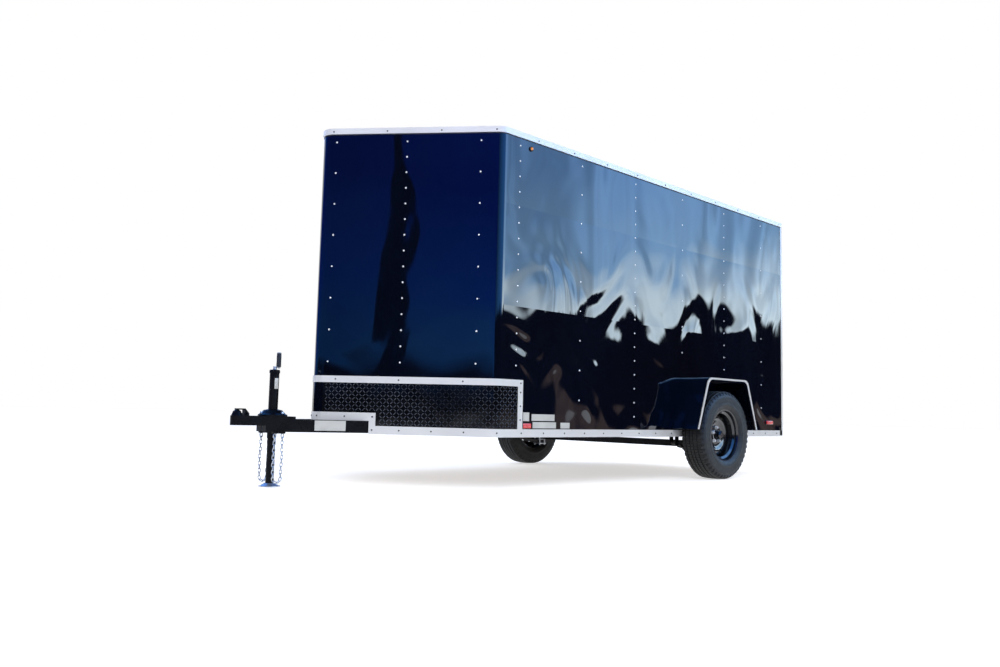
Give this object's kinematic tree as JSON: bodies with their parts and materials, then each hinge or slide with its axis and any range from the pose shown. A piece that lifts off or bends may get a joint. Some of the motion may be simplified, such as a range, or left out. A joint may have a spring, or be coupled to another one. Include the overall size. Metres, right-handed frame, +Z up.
{
  "type": "enclosed cargo trailer",
  "caption": "Enclosed V-nose cargo trailer with an A-frame tongue, jack, leaf-sprung axle, rear ramp door and kerb-side door.",
  "frame": {"origin": "centre of the overall box at ground level", "axes": "+Z up, -Y towards the coupler, +Y towards the ramp door, +X towards the left (road) side"},
  "size_m": [2.313, 4.936, 2.302],
  "materials": {
    "skin_black": "gloss black painted aluminium skin",
    "frame_black": "satin black painted steel",
    "bright_trim": "bright rolled aluminium",
    "guard_black": "black tread plate",
    "plywood": "plywood, lightly sealed",
    "tyre_rubber": "matt black rubber",
    "wheel_black": "gloss black painted steel",
    "zinc": "zinc plated steel",
    "grip_black": "black plastic",
    "lens_amber": "amber lens",
    "lens_red": "red lens",
    "roof_white": "mill finish aluminium"
  },
  "bodies": {
    "trailer": {"frame_rails": "frame_black", "floor_crossmembers": "frame_black", "rear_sill": "frame_black", "nose_frame": "frame_black", "tongue_tubes": "frame_black", "coupler": "frame_black", "coupler_latch": "zinc", "jack_tube": "frame_black", "jack_crank": "grip_black", "axle": "frame_black", "leaf_springs": "frame_black", "spring_hangers": "frame_black", "spring_clamps": "zinc", "floor_deck": "plywood", "left_wall": "skin_black", "right_wall": "skin_black", "left_nose_wall": "skin_black", "right_nose_wall": "skin_black", "nose_post": "skin_black", "roof_cap": "bright_trim", "rear_cap": "bright_trim", "roof": "roof_white", "bottom_trims": "bright_trim", "tongue_trims": "bright_trim", "stone_guards": "guard_black", "guard_trims": "bright_trim", "rear_posts": "bright_trim", "rear_header": "skin_black", "ramp_hinge_fixed": "zinc", "side_door_frame": "bright_trim", "side_door_hinge_pins": "zinc", "left_fender": "frame_black", "right_fender": "frame_black", "tail_lights": "lens_red", "side_markers": "lens_amber", "rear_side_markers": "lens_red", "chain_anchors": "frame_black", "left_chain": "zinc", "right_chain": "zinc"},
    "ramp_door": {"ramp_panel": "skin_black", "ramp_hinge_leaves": "zinc", "ramp_lock_bars": "zinc"},
    "side_door": {"side_door_panel": "skin_black", "side_door_hinge_leaves": "zinc", "side_door_latch": "zinc"},
    "jack_leg": {"jack_leg": "frame_black", "jack_foot": "zinc"},
    "left_wheel": {"left_tyre": "tyre_rubber", "left_rim": "wheel_black", "left_hub": "zinc"},
    "right_wheel": {"right_tyre": "tyre_rubber", "right_rim": "wheel_black", "right_hub": "zinc"}
  },
  "joints": [
    {"name": "left_wheel_spin", "type": "hinge", "parent": "trailer", "child": "left_wheel", "pos_m": [1.037, 1.083, 0.343], "axis": [1, 0, 0], "continuous": true},
    {"name": "right_wheel_spin", "type": "hinge", "parent": "trailer", "child": "right_wheel", "pos_m": [-1.037, 1.083, 0.343], "axis": [1, 0, 0], "continuous": true},
    {"name": "ramp_door_hinge", "type": "hinge", "parent": "trailer", "child": "ramp_door", "pos_m": [0, 2.409, 0.379], "axis": [-1, 0, 0], "range_deg": [0, 100]},
    {"name": "side_door_hinge", "type": "hinge", "parent": "trailer", "child": "side_door", "pos_m": [-0.9285, -0.886, 1.278], "axis": [0, 0, 1], "range_deg": [0, 170]},
    {"name": "jack_screw", "type": "slide", "parent": "trailer", "child": "jack_leg", "axis": [0, 0, 1], "range_m": [-0.1, 0.25]}
  ]
}
